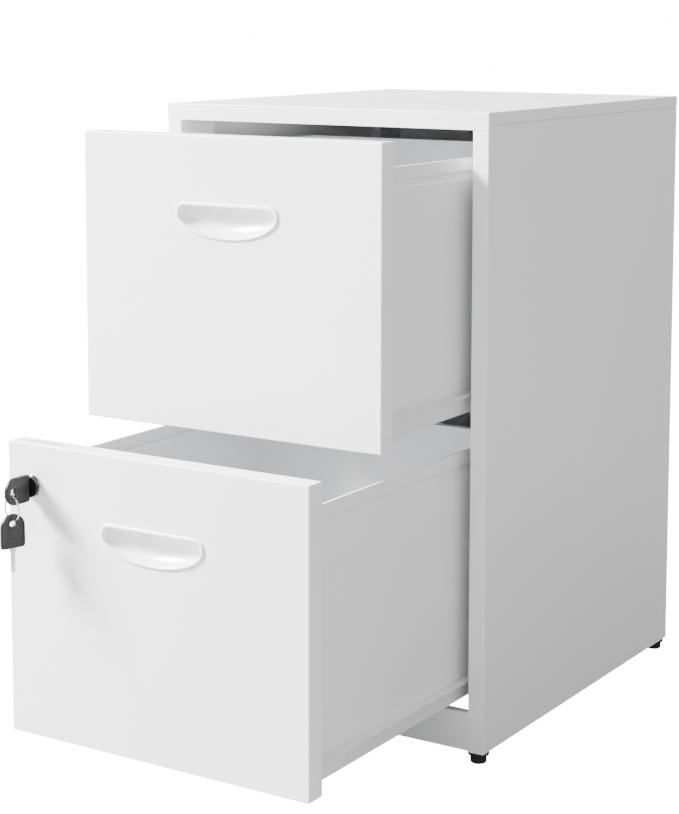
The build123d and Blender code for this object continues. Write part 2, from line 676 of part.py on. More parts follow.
# The bar: an upright plate with a window for the key's blade, a slot for the cam's pin,
# and an arm that runs left and back through the liner to the upright hook.
bar_low = lock_z0 + lug_z
bar_high = lock_z0 + PANEL_HEIGHT - 0.3
arm_high = bar_low + 3.5
hook_y = (lock_y0 + 31.0, lock_y0 + 33.5)
keeper_low = lock_z0 + 207.0
with BuildPart() as bar:
    bar_y = (lock_y0 + bar_front, lock_y0 + bar_rear)
    block((tongue_x[0] + 0.8, tongue_x[1] - 0.8), bar_y, (bar_low, bar_high))
    blade_sweep = BLADE_WIDTH / 2 + 0.7
    block(
        (LOCK_X - blade_sweep, LOCK_X + blade_sweep),
        (lock_y0 + bar_front - 1, lock_y0 + bar_rear + 1),
        (lock_z - blade_sweep - lift, lock_z + blade_sweep),
        Mode.SUBTRACT,
    )
    block(
        (LOCK_X + pin_x - pin_radius - 0.4, LOCK_X + pin_throw + pin_radius + 0.4),
        (lock_y0 + bar_front - 1, lock_y0 + bar_rear + 1),
        (lock_z - pin_drop - pin_radius - 0.7, lock_z - pin_drop + pin_radius + 0.7),
        Mode.SUBTRACT,
    )
    block((lug_x[0], tongue_x[0] + 1), bar_y, (bar_low, arm_high))
    block(lug_x, (lock_y0 + bar_front, hook_y[1]), (bar_low, arm_high))
    block(lug_x, hook_y, (bar_low, keeper_low - 1.0))
save(bar, "lock_bar")

with BuildPart() as keeper:
    keeper_z = (keeper_low, keeper_low + 19)
    block((-post_x, -opening_half + 10), (front + 26, front + 27.5), keeper_z)
    block((-post_x, -post_x + 1.2), (front + 26, front + 46), keeper_z)
save(keeper, "lock_keeper")

# ---------------------------------------------------------------- keys and ring
bow_front = lock_y0 - KEY_REACH
bow_back = bow_front + BOW_LENGTH
bow_radius = BOW_WIDTH / 2
bow_hole_radius = 3.6
hole_y = bow_front + BOW_HOLE_BACK
hole_z = lock_z - 2.0
ring_mid = RING_OUTER - RING_WIRE
ring_top_z = hole_z - bow_hole_radius + RING_WIRE + RING_PLAY
ring_centre_z = ring_top_z - ring_mid
ring_low_z = ring_centre_z - ring_mid
spare_hole_z = ring_low_z + RING_WIRE + RING_PLAY - bow_hole_radius
spare_top_z = spare_hole_z + BOW_HOLE_BACK

with BuildPart() as key_bow:
    with BuildSketch(Plane.YZ.offset(LOCK_X - BOW_THICKNESS / 2)):
        with Locations((bow_front + bow_radius, lock_z)):
            Circle(bow_radius)
        with Locations(((bow_front + bow_radius + bow_back) / 2, lock_z)):
            Rectangle(BOW_LENGTH - bow_radius, BOW_WIDTH)
        with Locations((hole_y, hole_z)):
            Circle(bow_hole_radius, mode=Mode.SUBTRACT)
    extrude(amount=BOW_THICKNESS)
    faces = key_bow.faces().filter_by(Axis.X)
    fillet([edge for face in faces for edge in face.outer_wire().edges()], BOW_EDGE)
save(key_bow, "key_bow")


def blade_outline(start, end):
    """Key blade from its shoulder to a blunt, tapered tip, along the sketch's first axis."""
    taper = 4.0 if end > start else -4.0
    w = BLADE_WIDTH / 2
    tip = w * 0.3
    Polyline(
        (start, -w), (end - taper, -w), (end, -tip), (end, tip), (end - taper, w), (start, w), close=True
    )


key_root = (LOCK_X - BLADE_THICKNESS / 2, bow_back, lock_z)
with BuildPart() as key_blade:
    with BuildSketch(Plane(origin=key_root, x_dir=(0, 1, 0), z_dir=(1, 0, 0))):
        with BuildLine():
            blade_outline(0.0, BLADE_LENGTH)
        make_face()
    extrude(amount=BLADE_THICKNESS)
save(key_blade, "key_blade")

ring_direction = (math.cos(ring_turn), math.sin(ring_turn), 0)
ring_normal = (-ring_direction[1], ring_direction[0], 0)
ring_plane = Plane(origin=(LOCK_X, hole_y, ring_centre_z), x_dir=ring_direction, z_dir=ring_normal)
with BuildPart() as key_ring:
    with BuildSketch(Plane(origin=ring_plane.origin, x_dir=ring_direction, z_dir=(0, 0, 1))):
        with Locations((ring_mid, 0)):
            Circle(RING_WIRE)
    revolve(axis=Axis(ring_plane.origin, ring_normal))
save(key_ring, "key_ring")

spare_plane = Plane(
    origin=Vector(LOCK_X, hole_y, 0) - Vector(ring_direction) * (BOW_THICKNESS / 2),
    x_dir=ring_normal,
    z_dir=ring_direction,
)
# in this plane the first axis runs along the ring's normal and the second one downwards or up
up = 1 if spare_plane.y_dir.Z > 0 else -1
with BuildPart() as spare_bow:
    with BuildSketch(spare_plane):
        with Locations((0, up * (spare_top_z - bow_radius))):
            Circle(bow_radius)
        with Locations((0, up * (spare_top_z - (BOW_LENGTH + bow_radius) / 2))):
            Rectangle(BOW_WIDTH, BOW_LENGTH - bow_radius)
        with Locations((0, up * spare_hole_z)):
            Circle(bow_hole_radius, mode=Mode.SUBTRACT)
    extrude(amount=BOW_THICKNESS)
    faces = spare_bow.faces().filter_by(Plane(origin=(0, 0, 0), z_dir=ring_direction))
    fillet([edge for face in faces for edge in face.outer_wire().edges()], BOW_EDGE)
save(spare_bow, "spare_key_bow")

spare_shoulder_z = spare_top_z - BOW_LENGTH
blade_origin = Vector(LOCK_X, hole_y, spare_shoulder_z) - Vector(ring_direction) * (BLADE_THICKNESS / 2)
with BuildPart() as spare_blade:
    with BuildSketch(Plane(origin=blade_origin, x_dir=(0, 0, -1), z_dir=ring_direction)):
        with BuildLine():
            blade_outline(0.0, BLADE_LENGTH)
        make_face()
    extrude(amount=BLADE_THICKNESS)
save(spare_blade, "spare_key_blade")

print("front y", round(front, 4), "rear y", round(rear, 4), "lock z", round(lock_z, 3))
print("lock y", round(lock_y0, 4), "hole y", round(hole_y, 4), "lift", round(lift, 4))
print("ring top z", round(ring_top_z, 3), "ring low z", round(ring_low_z, 3))
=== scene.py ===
import bmesh
import bpy
import math
import numpy as np
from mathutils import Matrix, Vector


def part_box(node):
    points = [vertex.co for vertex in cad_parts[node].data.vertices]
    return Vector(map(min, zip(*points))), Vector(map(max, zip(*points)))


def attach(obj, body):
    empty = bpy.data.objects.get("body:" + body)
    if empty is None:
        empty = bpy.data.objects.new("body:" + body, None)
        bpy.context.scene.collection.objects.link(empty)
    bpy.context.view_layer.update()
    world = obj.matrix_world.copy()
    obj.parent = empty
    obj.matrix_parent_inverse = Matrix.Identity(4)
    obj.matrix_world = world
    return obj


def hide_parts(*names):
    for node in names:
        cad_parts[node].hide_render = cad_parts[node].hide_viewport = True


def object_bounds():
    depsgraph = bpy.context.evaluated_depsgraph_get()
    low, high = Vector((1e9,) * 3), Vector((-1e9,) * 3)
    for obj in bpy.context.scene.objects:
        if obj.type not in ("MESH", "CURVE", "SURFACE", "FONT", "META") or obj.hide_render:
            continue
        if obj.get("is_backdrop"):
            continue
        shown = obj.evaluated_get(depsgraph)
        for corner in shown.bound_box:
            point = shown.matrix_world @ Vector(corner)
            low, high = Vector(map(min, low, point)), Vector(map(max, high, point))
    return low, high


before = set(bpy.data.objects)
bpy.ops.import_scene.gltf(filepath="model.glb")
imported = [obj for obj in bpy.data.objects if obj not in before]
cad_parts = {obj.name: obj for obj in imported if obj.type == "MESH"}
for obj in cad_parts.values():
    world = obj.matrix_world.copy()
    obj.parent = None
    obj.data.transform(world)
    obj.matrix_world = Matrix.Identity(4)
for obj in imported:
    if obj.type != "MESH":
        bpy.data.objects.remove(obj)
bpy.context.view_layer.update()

# ---------------------------------------------------------------- case
# The cabinet's case is folded sheet steel: a pan lid, two side panels with set-in top strips,
# a screwed-on back, corner posts and two bottom rails, all sprayed and baked in white powder.

def shader_group(name, inputs, outputs):
    """Empty shader node group with its sockets named, and the two nodes that carry them."""
    tree = bpy.data.node_groups.new(name, "ShaderNodeTree")
    for socket_name, kind, value in inputs:
        socket = tree.interface.new_socket(socket_name, in_out="INPUT", socket_type=kind)
        if value is not None:
            socket.default_value = value
    for socket_name, kind in outputs:
        tree.interface.new_socket(socket_name, in_out="OUTPUT", socket_type=kind)
    return tree, tree.nodes.new("NodeGroupInput"), tree.nodes.new("NodeGroupOutput")


def noise_at(tree, vector, scale, detail, roughness=0.5):
    """Noise texture on a coordinate, as a node whose first output is the value."""
    node = tree.nodes.new("ShaderNodeTexNoise")
    node.inputs["Scale"].default_value = scale
    node.inputs["Detail"].default_value = detail
    node.inputs["Roughness"].default_value = roughness
    tree.links.new(vector, node.inputs["Vector"])
    return node.outputs["Fac"]


def spread(tree, value, from_low, from_high, to_low, to_high):
    """Value moved from one range to another, and held inside it."""
    node = tree.nodes.new("ShaderNodeMapRange")
    node.inputs["From Min"].default_value = from_low
    node.inputs["From Max"].default_value = from_high
    node.inputs["To Min"].default_value = to_low
    node.inputs["To Max"].default_value = to_high
    tree.links.new(value, node.inputs["Value"])
    return node.outputs["Result"]


def reckon(tree, operation, first, second):
    """One Math node on two values, each a socket or a number."""
    node = tree.nodes.new("ShaderNodeMath")
    node.operation = operation
    for socket, value in zip(node.inputs, (first, second)):
        if isinstance(value, (int, float)):
            socket.default_value = value
        else:
            tree.links.new(value, socket)
    return node.outputs["Value"]


def blend_colour(tree, mode, factor, first, second):
    """Mix of two colours by a factor, each a socket or a plain value."""
    node = tree.nodes.new("ShaderNodeMix")
    node.data_type = "RGBA"
    node.blend_type = mode
    for socket, value in ((node.inputs[0], factor), (node.inputs[6], first), (node.inputs[7], second)):
        if isinstance(value, bpy.types.NodeSocket):
            tree.links.new(value, socket)
        else:
            socket.default_value = value
    return node.outputs[2]


def baked_skin():
    """Group for a sprayed and baked coat: a fine orange peel over a slow waviness of the sheet,
    faint clouds in the colour, sparse dust specks, and hand smudges in the gloss."""
    tree, given, out = shader_group(
        "baked_skin",
        [
            ("Coordinates", "NodeSocketVector", None),
            ("Colour", "NodeSocketColor", (0.8, 0.8, 0.8, 1)),
            ("Peel Scale", "NodeSocketFloat", 700.0),
            ("Gloss Low", "NodeSocketFloat", 0.3),
            ("Gloss High", "NodeSocketFloat", 0.42),
        ],
        [("Colour", "NodeSocketColor"), ("Roughness", "NodeSocketFloat"), ("Height", "NodeSocketFloat")],
    )
    at = given.outputs["Coordinates"]
    peel = noise_at(tree, at, 700.0, 3.0, 0.55)
    tree.links.new(given.outputs["Peel Scale"], peel.node.inputs["Scale"])
    wave = noise_at(tree, at, 9.0, 1.0)
    cloud = noise_at(tree, at, 4.5, 4.0, 0.6)
    speck = spread(tree, noise_at(tree, at, 420.0, 1.0), 0.80, 0.84, 0.0, 0.35)
    smudge = noise_at(tree, at, 17.0, 5.0, 0.65)
    clouds = spread(tree, cloud, 0.35, 0.7, 0.0, 1.0)
    cloudy = blend_colour(tree, "MULTIPLY", clouds, given.outputs["Colour"], (0.975, 0.977, 0.985, 1))
    dusty = blend_colour(tree, "MIX", speck, cloudy, (0.62, 0.61, 0.58, 1))
    tree.links.new(dusty, out.inputs["Colour"])
    gloss = tree.nodes.new("ShaderNodeMapRange")
    gloss.inputs["From Min"].default_value = 0.38
    gloss.inputs["From Max"].default_value = 0.66
    tree.links.new(smudge, gloss.inputs["Value"])
    tree.links.new(given.outputs["Gloss Low"], gloss.inputs["To Min"])
    tree.links.new(given.outputs["Gloss High"], gloss.inputs["To Max"])
    tree.links.new(gloss.outputs["Result"], out.inputs["Roughness"])
    tree.links.new(reckon(tree, "ADD", reckon(tree, "MULTIPLY", peel, 0.12), wave), out.inputs["Height"])
    return tree


def finish_with(
    name, skin, colour, gloss, peel, metallic=0.0, coat=0.0, bump=0.1, depth=0.0006, specular=0.5
):
    """Material that reads one skin group on Object coordinates and puts it on a Principled shader."""
    material = bpy.data.materials.new(name)
    material.use_nodes = True
    tree = material.node_tree
    shader = tree.nodes["Principled BSDF"]
    shader.inputs["Metallic"].default_value = metallic
    shader.inputs["Specular IOR Level"].default_value = specular
    shader.inputs["Coat Weight"].default_value = coat
    shader.inputs["Coat Roughness"].default_value = 0.18
    place = tree.nodes.new("ShaderNodeTexCoord")
    group = tree.nodes.new("ShaderNodeGroup")
    group.node_tree = skin
    tree.links.new(place.outputs["Object"], group.inputs["Coordinates"])
    group.inputs["Colour"].default_value = (*colour, 1)
    group.inputs["Peel Scale"].default_value = peel
    group.inputs["Gloss Low"].default_value = gloss[0]
    group.inputs["Gloss High"].default_value = gloss[1]
    raised = tree.nodes.new("ShaderNodeBump")
    raised.inputs["Strength"].default_value = bump
    raised.inputs["Distance"].default_value = depth
    tree.links.new(group.outputs["Height"], raised.inputs["Height"])
    tree.links.new(group.outputs["Colour"], shader.inputs["Base Color"])
    tree.links.new(group.outputs["Roughness"], shader.inputs["Roughness"])
    tree.links.new(raised.outputs["Normal"], shader.inputs["Normal"])
    return material


def clothe(names, material):
    """Puts one finish on each named part of the frame."""
    for name in names:
        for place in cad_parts[name].material_slots:
            place.material = material


skin = baked_skin()
white_powder = finish_with("white_powder", skin, (0.86, 0.862, 0.868), (0.30, 0.42), 700.0)
clothe(["top_panel", "left_side_panel", "right_side_panel", "back_panel"], white_powder)
clothe(["left_front_post", "right_front_post", "left_rear_post", "right_rear_post"], white_powder)
clothe(["bottom_front_rail", "bottom_rear_rail"], white_powder)

# ---------------------------------------------------------------- slides
# Four pairs of rolled steel rails in a baked coat. A nylon roller sits at the front of each
# fixed channel and at the rear of each drawer's runner, on a riveted steel axle.
rail_coat = finish_with("rail_coat", skin, (0.80, 0.802, 0.806), (0.32, 0.46), 950.0, bump=0.08)
rails = [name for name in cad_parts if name.endswith(("_channel", "_runner"))]
clothe(rails, rail_coat)


def brushed_skin():
    """Group for bright metal: fine hairlines drawn out along one axis, a zinc bloom of soft
    patches in the colour, and gloss that follows both."""
    tree, given, out = shader_group(
        "brushed_skin",
        [
            ("Coordinates", "NodeSocketVector", None),
            ("Colour", "NodeSocketColor", (0.6, 0.6, 0.6, 1)),
            ("Peel Scale", "NodeSocketFloat", 300.0),
            ("Gloss Low", "NodeSocketFloat", 0.2),
            ("Gloss High", "NodeSocketFloat", 0.4),
        ],
        [("Colour", "NodeSocketColor"), ("Roughness", "NodeSocketFloat"), ("Height", "NodeSocketFloat")],
    )
    stretch = tree.nodes.new("ShaderNodeMapping")
    stretch.inputs["Scale"].default_value = (1.0, 0.06, 1.0)
    tree.links.new(given.outputs["Coordinates"], stretch.inputs["Vector"])
    hairline = noise_at(tree, stretch.outputs["Vector"], 300.0, 4.0, 0.7)
    tree.links.new(given.outputs["Peel Scale"], hairline.node.inputs["Scale"])
    bloom = noise_at(tree, given.outputs["Coordinates"], 120.0, 3.0, 0.6)
    patch = spread(tree, bloom, 0.4, 0.62, 0.0, 1.0)
    tree.links.new(
        blend_colour(tree, "MULTIPLY", patch, given.outputs["Colour"], (0.84, 0.86, 0.9, 1)),
        out.inputs["Colour"],
    )
    gloss = tree.nodes.new("ShaderNodeMapRange")
    gloss.inputs["From Min"].default_value = 0.3
    gloss.inputs["From Max"].default_value = 0.7
    tree.links.new(reckon(tree, "MULTIPLY", reckon(tree, "ADD", hairline, bloom), 0.5), gloss.inputs["Value"])
    tree.links.new(given.outputs["Gloss Low"], gloss.inputs["To Min"])
    tree.links.new(given.outputs["Gloss High"], gloss.inputs["To Max"])
    tree.links.new(gloss.outputs["Result"], out.inputs["Roughness"])
    tree.links.new(hairline, out.inputs["Height"])
    return tree


metal_skin = brushed_skin()
zinc_plate = finish_with(
    "zinc_plate", metal_skin, (0.62, 0.635, 0.65), (0.22, 0.4), 700.0, metallic=1.0, bump=0.12
)
clothe(["foot_nuts", "slide_rivets", "lock_keeper", "lock_nut", "back_screws"], zinc_plate)


def lay_grid(name, points, closed_round=True, closed_along=False, smooth=True):
    """Mesh of quads over a grid of points, rows along and columns round. A closed way joins its
    last line to its first. Faces point outwards where the columns turn left about the rows."""
    rows, columns = points.shape[:2]
    index = np.arange(rows * columns).reshape(rows, columns)
    next_row = np.roll(index, -1, axis=0)
    next_column = np.roll(index, -1, axis=1)
    corner = np.roll(next_row, -1, axis=1)
    quads = np.stack([index, next_column, corner, next_row], axis=-1)
    quads = quads[: rows if closed_along else rows - 1, : columns if closed_round else columns - 1]
    faces = quads.reshape(-1, 4)
    mesh = bpy.data.meshes.new(name)
    mesh.vertices.add(rows * columns)
    mesh.vertices.foreach_set("co", points.reshape(-1, 3).astype(np.float32).ravel())
    mesh.loops.add(faces.size)
    mesh.loops.foreach_set("vertex_index", faces.ravel().astype(np.int32))
    mesh.polygons.add(len(faces))
    mesh.polygons.foreach_set("loop_start", np.arange(0, faces.size, 4, dtype=np.int32))
    mesh.polygons.foreach_set("use_smooth", np.full(len(faces), smooth))
    mesh.update(calc_edges=True)
    return mesh


def heal(mesh, turn_out=True):
    """Merges doubled points, such as a pole's, and turns every face outwards."""
    work = bmesh.new()
    work.from_mesh(mesh)
    bmesh.ops.remove_doubles(work, verts=work.verts, dist=1e-6)
    bmesh.ops.dissolve_degenerate(work, edges=work.edges, dist=1e-7)
    if turn_out:
        bmesh.ops.recalc_face_normals(work, faces=work.faces)
    work.to_mesh(mesh)
    work.free()
    return mesh


def place_piece(mesh, material, body, slot, *nodes):
    """Object for a finished mesh, which rides on its body and stands for the named parts."""
    piece = bpy.data.objects.new(mesh.name, mesh)
    bpy.context.scene.collection.objects.link(piece)
    mesh.materials.append(material)
    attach(piece, body)
    if nodes:
        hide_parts(*nodes)
    return piece


def turned(name, profile, centre, axis="z", sides=64, ribs=0, rib_depth=0.0, rib_rows=(0, 0)):
    """Turned shape. Each profile point is a radius and a place along the axis, in metres, and
    every row is a circle of that radius. On ribbed rows the radius falls by
    depth x (0.5 - 0.5 cos(ribs x angle)), which leaves grip ribs."""
    radius, along = np.array(profile, float).T
    angle = np.linspace(0, 2 * np.pi, sides, endpoint=False)
    wave = 0.5 - 0.5 * np.cos(ribs * angle)
    is_ribbed = np.zeros(len(radius))
    is_ribbed[rib_rows[0] : rib_rows[1]] = 1
    r = radius[:, None] - rib_depth * is_ribbed[:, None] * wave[None, :]
    a, b = r * np.cos(angle), r * np.sin(angle)
    c = np.broadcast_to(along[:, None], a.shape)
    order = {"z": (a, b, c), "y": (a, c, b), "x": (c, a, b)}[axis]
    return heal(lay_grid(name, np.stack(order, axis=-1) + np.array(centre)))


def rounded(profile, radius, steps=4):
    """Profile of straight runs whose inner corners are rounded: each corner is swapped for a
    quadratic arc that starts and ends `radius` away from it, or a third of a shorter run."""
    points = np.array(profile, float)
    out = [points[0]]
    for before, corner, after in zip(points[:-2], points[1:-1], points[2:]):
        back = before - corner
        ahead = after - corner
        start = corner + back * min(radius / max(np.linalg.norm(back), 1e-9), 0.45)
        end = corner + ahead * min(radius / max(np.linalg.norm(ahead), 1e-9), 0.45)
        t = np.linspace(0, 1, steps)[:, None]
        out.extend((1 - t) ** 2 * start + 2 * t * (1 - t) * corner + t**2 * end)
    out.append(points[-1])
    return np.array(out)


def moulded_skin():
    """Group for moulded plastic: a fine spark-eroded grain, slow flow clouds in the colour, pale
    rub marks on a coarser scale, and gloss that drops where it is rubbed."""
    tree, given, out = shader_group(
        "moulded_skin",
        [
            ("Coordinates", "NodeSocketVector", None),
            ("Colour", "NodeSocketColor", (0.1, 0.1, 0.1, 1)),
            ("Peel Scale", "NodeSocketFloat", 2200.0),
            ("Gloss Low", "NodeSocketFloat", 0.3),
            ("Gloss High", "NodeSocketFloat", 0.5),
        ],
        [("Colour", "NodeSocketColor"), ("Roughness", "NodeSocketFloat"), ("Height", "NodeSocketFloat")],
    )
    at = given.outputs["Coordinates"]
    grain = noise_at(tree, at, 2200.0, 2.0, 0.5)
    tree.links.new(given.outputs["Peel Scale"], grain.node.inputs["Scale"])
    flow = noise_at(tree, at, 60.0, 2.0)
    rubbed = spread(tree, noise_at(tree, at, 330.0, 4.0, 0.7), 0.58, 0.72, 0.0, 0.05)
    clouds = spread(tree, flow, 0.35, 0.65, 0.0, 0.6)
    tinted = blend_colour(tree, "MULTIPLY", clouds, given.outputs["Colour"], (0.88, 0.88, 0.9, 1))
    tree.links.new(blend_colour(tree, "SCREEN", rubbed, tinted, (0.35, 0.35, 0.35, 1)), out.inputs["Colour"])
    gloss = tree.nodes.new("ShaderNodeMapRange")
    gloss.inputs["From Min"].default_value = 0.35
    gloss.inputs["From Max"].default_value = 0.65
    tree.links.new(flow, gloss.inputs["Value"])
    tree.links.new(given.outputs["Gloss Low"], gloss.inputs["To Min"])
    tree.links.new(given.outputs["Gloss High"], gloss.inputs["To Max"])
    tree.links.new(reckon(tree, "ADD", gloss.outputs["Result"], rubbed), out.inputs["Roughness"])
    tree.links.new(grain, out.inputs["Height"])
    return tree


plastic_skin = moulded_skin()
nylon = finish_with("nylon", plastic_skin, (0.82, 0.82, 0.79), (0.34, 0.46), 1800.0, bump=0.05, depth=0.0004)
for name in [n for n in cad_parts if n.endswith("_roller")]:
    low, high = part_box(name)
    middle = (low + high) / 2
    r = (high.z - low.z) / 2
    w = (high.x - low.x) / 2
    bore = 0.00245
    web = w * 0.72
    tyre = rounded(
        [
            (bore, -w), (0.0052, -w), (0.0054, -web), (0.0066, -web), (0.0068, -w), (r, -w),
            (r, w), (0.0068, w), (0.0066, web), (0.0054, web), (0.0052, w), (bore, w), (bore, -w),
        ],
        0.0007,
    )
    place_piece(turned(name + "_wheel", tyre, middle, "x"), nylon, name, "nylon", name)

# ---------------------------------------------------------------- levelling feet
# Four black moulded feet on threaded studs. The flange turns by hand under each corner, its
# skirt is ribbed for grip, and the sole is flat.
foot_black = finish_with(
    "foot_black", plastic_skin, (0.009, 0.009, 0.0095), (0.42, 0.58), 1500.0, bump=0.2, depth=0.0005
)
for name in [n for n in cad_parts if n.startswith("foot_") and n != "foot_nuts"]:
    low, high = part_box(name)
    middle = ((low.x + high.x) / 2, (low.y + high.y) / 2, 0.0)
    shape = rounded(
        [
            (0.0, 0.0), (0.0073, 0.0), (0.0083, 0.0014), (0.0083, 0.0072), (0.0103, 0.0080),
            (0.0109, 0.0088), (0.0109, 0.0110), (0.0104, 0.0116), (0.003, 0.0116), (0.003, 0.0252),
            (0.0022, 0.0259), (0.0, 0.026),
        ],
        0.0006,
        5,
    )
    skirt = np.flatnonzero((shape[:, 0] > 0.0081) & (shape[:, 1] < 0.0112))
    foot = turned(name + "_moulding", shape, middle, "z", 120, 24, 0.0005, (skirt[0], skirt[-1] + 1))
    place_piece(foot, foot_black, name, "foot_plastic", name)

# ---------------------------------------------------------------- drawer boxes and fronts
# Each drawer is a folded box with hemmed top edges and a groove pressed along its sides. Its
# front is a shallow pan closed by a liner, in the same white powder as the case.
drawer_sheets = [
    name
    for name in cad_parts
    if name.endswith(("_drawer_left_side", "_drawer_right_side", "_drawer_bottom", "_drawer_back"))
    or name.endswith(("_front_shell", "_front_liner"))
]
clothe(drawer_sheets, white_powder)

# White domed caps hide the screws that hold each front to its drawer, two a side.
cap_white = finish_with(
    "cap_white", plastic_skin, (0.95, 0.95, 0.95), (0.3, 0.36), 1500.0, bump=0.02, specular=1.0
)


def screw_cap(name, centre, side):
    """White cap of a screw: a full dome h = rise (1 - rho^3)^(1/2) over its width, with a small
    moulding dimple in its middle. The same grid is carried on inwards as the shank."""
    rise, cap_radius, shank_radius = 1.08, 2.88, 1.22
    angle = np.linspace(0, 2 * np.pi, 48, endpoint=False)
    rho = np.sin(np.linspace(0.0, np.pi / 2, 15))
    height = rise * np.sqrt(1 - rho**3) - 0.12 * np.exp(-((rho / 0.16) ** 2))
    radius = np.concatenate([rho * cap_radius, [shank_radius, shank_radius, 0.0]])
    along = np.concatenate([height, [0.0, -5.4, -5.9]])
    a = radius[:, None] * np.cos(angle)
    b = radius[:, None] * np.sin(angle)
    c = side * along[:, None] + 0 * a
    return heal(lay_grid(name, np.stack([c, a, b], axis=-1) / 1000 + np.array(centre)))


def joined(name, meshes):
    """One mesh made of several, with their points and faces renumbered."""
    points = np.concatenate([np.array([v.co for v in m.vertices]) for m in meshes])
    offsets = np.cumsum([0] + [len(m.vertices) for m in meshes])
    faces = [[i + start for i in p.vertices] for m, start in zip(meshes, offsets) for p in m.polygons]
    mesh = bpy.data.meshes.new(name)
    mesh.from_pydata(points.tolist(), [], faces)
    mesh.polygons.foreach_set("use_smooth", np.full(len(faces), True))
    return mesh


for level in ("upper", "lower"):
    low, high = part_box(f"{level}_front_screws")
    head_y = (low.y + high.y) / 2
    heads = [
        screw_cap(f"{level}_screw", (side * (high.x - 0.0011), head_y, z), side)
        for side in (-1, 1)
        for z in (low.z + 0.0029, high.z - 0.0029)
    ]
    caps = joined(f"{level}_screw_heads", heads)
    place_piece(caps, cap_white, f"{level}_drawer", "powder_coat", f"{level}_front_screws")

# ---------------------------------------------------------------- cup handles
# One white half-moon moulding in each front. Its rim stands proud of the sheet and rolls into
# a scoop, deepest just below the straight top edge, where the fingers hook.
handle_white = finish_with(
    "handle_white", plastic_skin, (0.95, 0.95, 0.95), (0.16, 0.24), 1600.0, coat=0.5, bump=0.03, depth=0.0003
)


half_width, below_waist, above_waist = 58.5, 23.7, 11.0


def moon_outline(inset):
    """Half moon drawn in by `inset` millimetres and measured from its waist: a straight top, two
    round corners, and half an ellipse below. Each part keeps the same count of points at every
    inset, so that outlines of two insets face each other point for point."""
    a, below, above = half_width - inset, below_waist - inset, above_waist - inset
    bend = 9.2 - inset * 0.55
    quarter = np.linspace(0, np.pi / 2, 40, endpoint=False)
    top = np.linspace(a - bend, -(a - bend), 120, endpoint=False)
    under = np.linspace(np.pi, 2 * np.pi, 200, endpoint=False)
    right_x = a - bend + bend * np.cos(quarter)
    left_x = -(a - bend) - bend * np.sin(quarter)
    right_z = above - bend + bend * np.sin(quarter)
    left_z = above - bend + bend * np.cos(quarter)
    x = np.concatenate([right_x, top, left_x, a * np.cos(under)])
    z = np.concatenate([right_z, np.full(120, above), left_z, below * np.sin(under)])
    return x, z


def cup_handle(name, waist, face):
    """Half-moon cup. Columns go round the outline and rows run inwards: a half-round rim 1.8 mm
    proud, then the scoop, whose depth is D sqrt(1 - (x/a)^2 - (z/c)^2) with z counted only below
    the waist, eased over the first 2.5 mm from the rim as a quarter circle."""
    rim_proud, scoop_depth, scoop_wall, ease_reach = 1.78, 15.6, 1.3, 2.5
    outer_x, outer_z = moon_outline(0.0)
    inner_x, inner_z = moon_outline(1.0)
    height = np.clip((outer_z + below_waist) / (below_waist + above_waist), 0, 1)
    rim_width = 2.9 + 0.9 * height**2
    rows_x, rows_y, rows_z = [outer_x], [0.35 + 0 * outer_x], [outer_z]
    for step in np.linspace(0, np.pi, 15):
        inset = rim_width * (1 - np.cos(step)) / 2
        rows_x.append(outer_x + (inner_x - outer_x) * inset)
        rows_z.append(outer_z + (inner_z - outer_z) * inset)
        rows_y.append(-rim_proud * np.sin(step) ** 0.8 + 0 * outer_x)
    edge_x, edge_z = rows_x[-1], rows_z[-1]
    heart_x, heart_z = edge_x * 0.55, 1.5
    for share in 1 - np.cos(np.linspace(0.05, np.pi / 2, 52)):
        x = edge_x + (heart_x - edge_x) * share
        z = edge_z + (heart_z - edge_z) * share
        run = np.hypot(edge_x - x, edge_z - z)
        across = x / (half_width - scoop_wall)
        down = np.minimum(z, 0) / (below_waist - scoop_wall)
        bowl = np.sqrt(np.clip(1 - across**2 - down**2, 0, 1))
        ease = np.sqrt(1 - (1 - np.clip(run / ease_reach, 0, 1)) ** 2)
        rows_x.append(x)
        rows_z.append(z)
        rows_y.append(scoop_depth * bowl * ease)
    points = np.stack([np.array(rows_x), np.array(rows_y), np.array(rows_z)], axis=-1)
    return heal(lay_grid(name, points / 1000 + np.array([0, face, waist])), turn_out=False)


for level in ("upper", "lower"):
    low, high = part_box(f"{level}_handle")
    cup = cup_handle(f"{level}_cup", high.z - above_waist / 1000, low.y + 0.0018)
    piece = place_piece(cup, handle_white, f"{level}_drawer", "handle_plastic", f"{level}_handle")
    wall = piece.modifiers.new("wall", "SOLIDIFY")
    wall.thickness = 0.0012
    wall.offset = -1.0

# ---------------------------------------------------------------- lock
# A cam lock in the lower front: a chrome bezel and threaded barrel held by a nut, and a black
# capped plug whose cam lifts a flat bar. Chrome is plated over a turned brass body.
chrome = finish_with("chrome", metal_skin, (0.74, 0.745, 0.755), (0.07, 0.16), 900.0, metallic=1.0, bump=0.03)
low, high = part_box("lock_housing")
lock_x, lock_z, lock_face = (low.x + high.x) / 2, (low.z + high.z) / 2, low.y + 0.0021
barrel = [(0.00655, -0.0021), (0.0101, -0.0021), (0.0106, -0.0017), (0.0108, -0.0019), (0.0112, -0.0016)]
barrel += [(0.0118, -0.0006), (0.0118, 0.0), (0.0092, 0.0)]
for turn in range(7):
    barrel += [(0.0092, 0.001 + turn * 0.001), (0.0087, 0.0015 + turn * 0.001)]
barrel += [(0.0089, 0.0084), (0.00655, 0.0084), (0.00655, -0.0021)]
housing = turned("lock_barrel", np.array(barrel), (lock_x, lock_face, lock_z), "y", 96)
place_piece(housing, chrome, "lower_drawer", "lock_chrome", "lock_housing")
